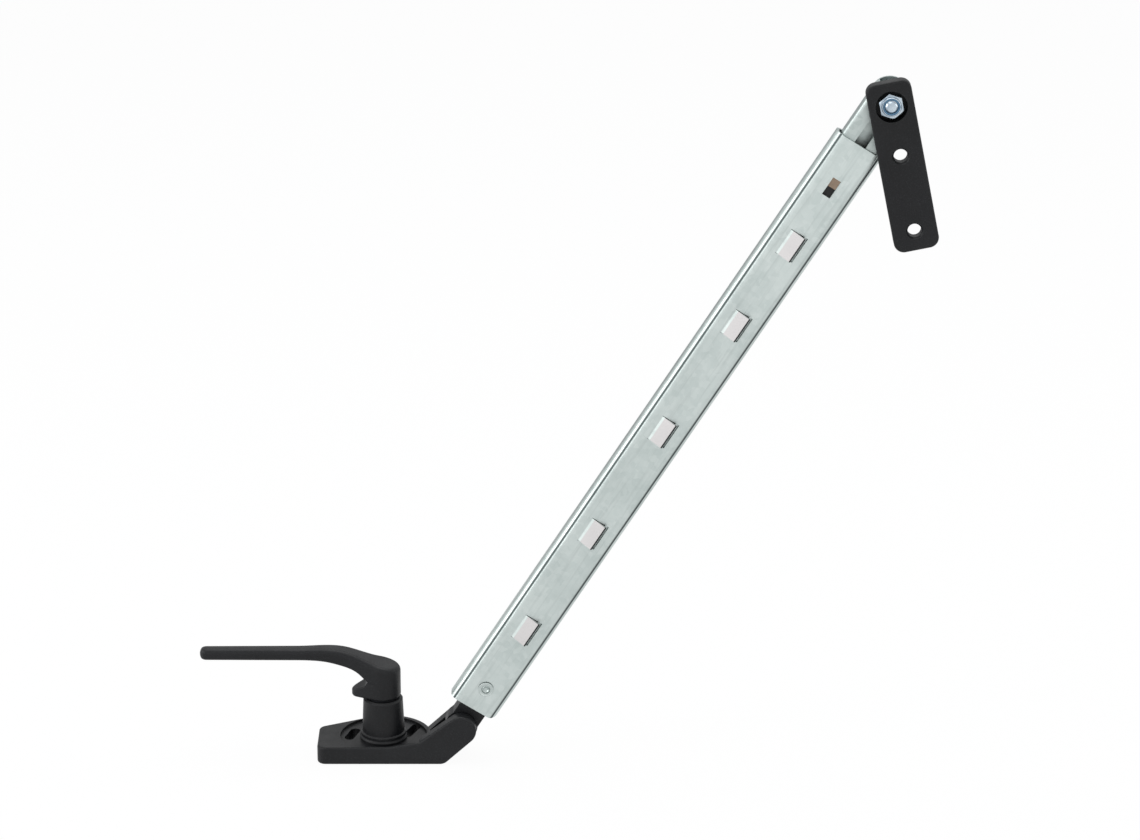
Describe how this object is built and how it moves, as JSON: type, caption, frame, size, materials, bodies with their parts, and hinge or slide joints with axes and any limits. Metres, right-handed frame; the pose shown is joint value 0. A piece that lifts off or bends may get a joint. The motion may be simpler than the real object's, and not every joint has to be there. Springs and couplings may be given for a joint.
{
  "type": "telescopic window stay",
  "caption": "Telescopic window stay: a cast base with a cockspur lever and a clevis, a rail with lanced catches, a sliding inner rail, and a pivoted sash plate.",
  "frame": {"origin": "on the lever's turning axis, at the base's fixing face", "axes": "+Z out of the fixing face along the lever's axis, +X from the lever towards the rail, -Y towards the side that shows the lanced catches and the lock nut"},
  "size_m": [0.3353, 0.0399, 0.3303],
  "materials": {
    "black_coat": "satin black powder coat on cast zinc, and on the steel plate",
    "zinc_sheet": "satin galvanised sheet steel",
    "bright_zinc": "bright zinc plate on turned and pressed steel",
    "hardened_steel": "dark hardened steel",
    "spring_steel": "oiled spring steel",
    "blue_nylon": "moulded nylon",
    "tan_acetal": "moulded acetal",
    "black_nylon": "moulded black nylon",
    "black_rubber": "moulded rubber"
  },
  "bodies": {
    "base": {"base_bracket": "black_coat", "handle_socket": "black_coat", "thrust_washer": "bright_zinc", "clevis_pin": "bright_zinc", "clevis_washer_front": "bright_zinc", "clevis_washer_back": "bright_zinc"},
    "lever": {"handle_lever": "black_coat", "spindle": "bright_zinc", "head_pin": "bright_zinc", "spindle_nut": "bright_zinc", "disc_spring": "spring_steel"},
    "arm": {"outer_rail": "zinc_sheet", "knuckle": "black_coat", "knuckle_rivet": "bright_zinc", "end_buffer": "black_rubber", "guide_key": "tan_acetal", "key_pad": "black_rubber", "liner_left": "black_nylon", "liner_right": "black_nylon"},
    "slider": {"inner_rail": "zinc_sheet", "pawl_carrier": "black_nylon", "carrier_rivet": "bright_zinc", "pawl_pin": "bright_zinc", "pawl_spring": "spring_steel", "pivot_bolt": "bright_zinc", "pivot_spacer": "bright_zinc", "plate_washer": "bright_zinc", "lock_nut": "bright_zinc", "nut_ring": "blue_nylon"},
    "plate": {"sash_plate": "black_coat"},
    "pawl": {"pawl": "hardened_steel"}
  },
  "joints": [
    {"name": "lever_turn", "type": "hinge", "parent": "base", "child": "lever", "pos_m": [0, 0, 0.02], "axis": [0, 0, 1], "range_deg": [-90, 90]},
    {"name": "arm_pivot", "type": "hinge", "parent": "base", "child": "arm", "pos_m": [0.0366, -0.00425, 0.0169], "axis": [0, 1, 0], "range_deg": [-40, 45]},
    {"name": "rail_slide", "type": "slide", "parent": "arm", "child": "slider", "axis": [0.5373, 0, 0.8434], "range_m": [0, 0.2207]},
    {"name": "plate_pivot", "type": "hinge", "parent": "slider", "child": "plate", "pos_m": [0.22789, -0.00425, 0.31809], "axis": [0, 1, 0], "range_deg": [-100, 44]},
    {"name": "pawl_swing", "type": "hinge", "parent": "slider", "child": "pawl", "pos_m": [0.07594, -0.00425, 0.07958], "axis": [-0.8434, 0, 0.5373], "range_deg": [0, 4]}
  ]
}
